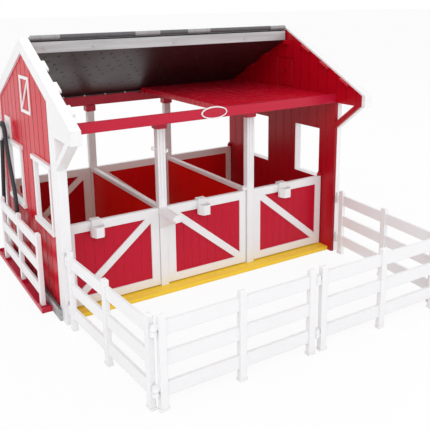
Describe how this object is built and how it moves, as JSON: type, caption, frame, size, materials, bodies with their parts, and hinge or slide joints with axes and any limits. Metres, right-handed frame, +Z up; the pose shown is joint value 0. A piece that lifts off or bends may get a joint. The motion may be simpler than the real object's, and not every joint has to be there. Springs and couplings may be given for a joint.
{
  "type": "toy horse stable",
  "caption": "Toy horse stable with hinged stall doors, a fold-back front roof, a loft and a hinged yard fence.",
  "frame": {"origin": "middle of the floor's underside, where the barn stands on the ground", "axes": "+X along the barn to the right gable, +Y from the open front to the rear doors, +Z up"},
  "size_m": [0.4995, 0.5555, 0.3755],
  "materials": {
    "red_plastic": "gloss",
    "white_plastic": "satin",
    "yellow_plastic": "satin",
    "roof_grey_plastic": "matt",
    "light_grey_plastic": "satin",
    "stone_grey_plastic": "matt",
    "steel_rod": "satin",
    "hose_rubber": "matt",
    "black_plastic": "satin"
  },
  "bodies": {
    "barn": {"floor_plate": "yellow_plastic", "left_gable_liner": "red_plastic", "right_gable_liner": "red_plastic", "left_gable_shell": "red_plastic", "right_gable_shell": "red_plastic", "left_bargeboard": "white_plastic", "right_bargeboard": "white_plastic", "left_front_corner_post": "white_plastic", "right_front_corner_post": "white_plastic", "left_rear_corner_post": "white_plastic", "right_rear_corner_post": "white_plastic", "left_window_frames": "white_plastic", "right_window_frames": "white_plastic", "loft_hatches": "white_plastic", "front_beam": "red_plastic", "rear_beam": "red_plastic", "roof_studs": "white_plastic", "sign_plate": "white_plastic", "front_post_left": "white_plastic", "front_post_right": "white_plastic", "rear_post_left": "white_plastic", "rear_post_right": "white_plastic", "post_caps": "red_plastic", "divider_panels": "red_plastic", "divider_rails": "white_plastic", "saddle_rack": "white_plastic", "tack_hooks": "white_plastic", "loft_panel_left": "red_plastic", "loft_panel_right": "red_plastic", "rear_roof": "roof_grey_plastic", "rear_roof_liner": "roof_grey_plastic", "ridge_fascia": "light_grey_plastic", "fascia_screws": "light_grey_plastic", "ridge_rod": "steel_rod", "wall_footing": "stone_grey_plastic", "wash_tray": "red_plastic", "wash_fence": "white_plastic", "hose_holder": "white_plastic", "hose": "hose_rubber", "hose_nozzle": "black_plastic"},
    "front_roof_body": {"front_roof": "roof_grey_plastic"},
    "side_fence_left_body": {"side_fence_left": "white_plastic"},
    "side_fence_right_body": {"side_fence_right": "white_plastic"},
    "front_fence_left_body": {"front_fence_left": "white_plastic"},
    "front_fence_right_body": {"front_fence_right": "white_plastic"},
    "front_door_left": {"front_door_frame_left": "white_plastic", "front_door_board_left": "red_plastic"},
    "rear_door_left": {"rear_door_frame_left": "white_plastic", "rear_door_board_left": "red_plastic"},
    "bucket_left_body": {"bucket_left": "white_plastic"},
    "front_door_middle": {"front_door_frame_middle": "white_plastic", "front_door_board_middle": "red_plastic"},
    "rear_door_middle": {"rear_door_frame_middle": "white_plastic", "rear_door_board_middle": "red_plastic"},
    "bucket_middle_body": {"bucket_middle": "white_plastic"},
    "front_door_right": {"front_door_frame_right": "white_plastic", "front_door_board_right": "red_plastic"},
    "rear_door_right": {"rear_door_frame_right": "white_plastic", "rear_door_board_right": "red_plastic"},
    "bucket_right_body": {"bucket_right": "white_plastic"}
  },
  "joints": [
    {"name": "front_roof_hinge", "type": "hinge", "parent": "barn", "child": "front_roof_body", "pos_m": [0, -0.024, 0.37233], "axis": [1, 0, 0], "range_deg": [0, 234.4]},
    {"name": "front_door_left_hinge", "type": "hinge", "parent": "barn", "child": "front_door_left", "pos_m": [-0.22275, -0.1235, 0.008], "axis": [0, 0, 1], "range_deg": [-70, 0]},
    {"name": "rear_door_left_hinge", "type": "hinge", "parent": "barn", "child": "rear_door_left", "pos_m": [-0.22275, 0.1505, 0.008], "axis": [0, 0, 1], "range_deg": [0, 80]},
    {"name": "bucket_left_lift", "type": "slide", "parent": "front_door_left", "child": "bucket_left_body", "axis": [0, 0, 1], "range_m": [0, 0.02]},
    {"name": "front_door_middle_hinge", "type": "hinge", "parent": "barn", "child": "front_door_middle", "pos_m": [0.06775, -0.1235, 0.008], "axis": [0, 0, 1], "range_deg": [0, 85]},
    {"name": "rear_door_middle_hinge", "type": "hinge", "parent": "barn", "child": "rear_door_middle", "pos_m": [0.06775, 0.1505, 0.008], "axis": [0, 0, 1], "range_deg": [-80, 0]},
    {"name": "bucket_middle_lift", "type": "slide", "parent": "front_door_middle", "child": "bucket_middle_body", "axis": [0, 0, 1], "range_m": [0, 0.02]},
    {"name": "front_door_right_hinge", "type": "hinge", "parent": "barn", "child": "front_door_right", "pos_m": [0.22275, -0.1235, 0.008], "axis": [0, 0, 1], "range_deg": [0, 75]},
    {"name": "rear_door_right_hinge", "type": "hinge", "parent": "barn", "child": "rear_door_right", "pos_m": [0.22275, 0.1505, 0.008], "axis": [0, 0, 1], "range_deg": [-80, 0]},
    {"name": "bucket_right_lift", "type": "slide", "parent": "front_door_right", "child": "bucket_right_body", "axis": [0, 0, 1], "range_m": [0, 0.02]},
    {"name": "side_fence_left_hinge", "type": "hinge", "parent": "barn", "child": "side_fence_left_body", "pos_m": [-0.2345, -0.1595, 0], "axis": [0, 0, 1], "range_deg": [-70, 0]},
    {"name": "front_fence_left_hinge", "type": "hinge", "parent": "side_fence_left_body", "child": "front_fence_left_body", "pos_m": [-0.22011, -0.37612, 0], "axis": [0, 0, 1], "range_deg": [-90, 0]},
    {"name": "side_fence_right_hinge", "type": "hinge", "parent": "barn", "child": "side_fence_right_body", "pos_m": [0.2345, -0.1595, 0], "axis": [0, 0, 1], "range_deg": [0, 70]},
    {"name": "front_fence_right_hinge", "type": "hinge", "parent": "side_fence_right_body", "child": "front_fence_right_body", "pos_m": [0.21409, -0.37564, 0], "axis": [0, 0, 1], "range_deg": [0, 90]}
  ]
}
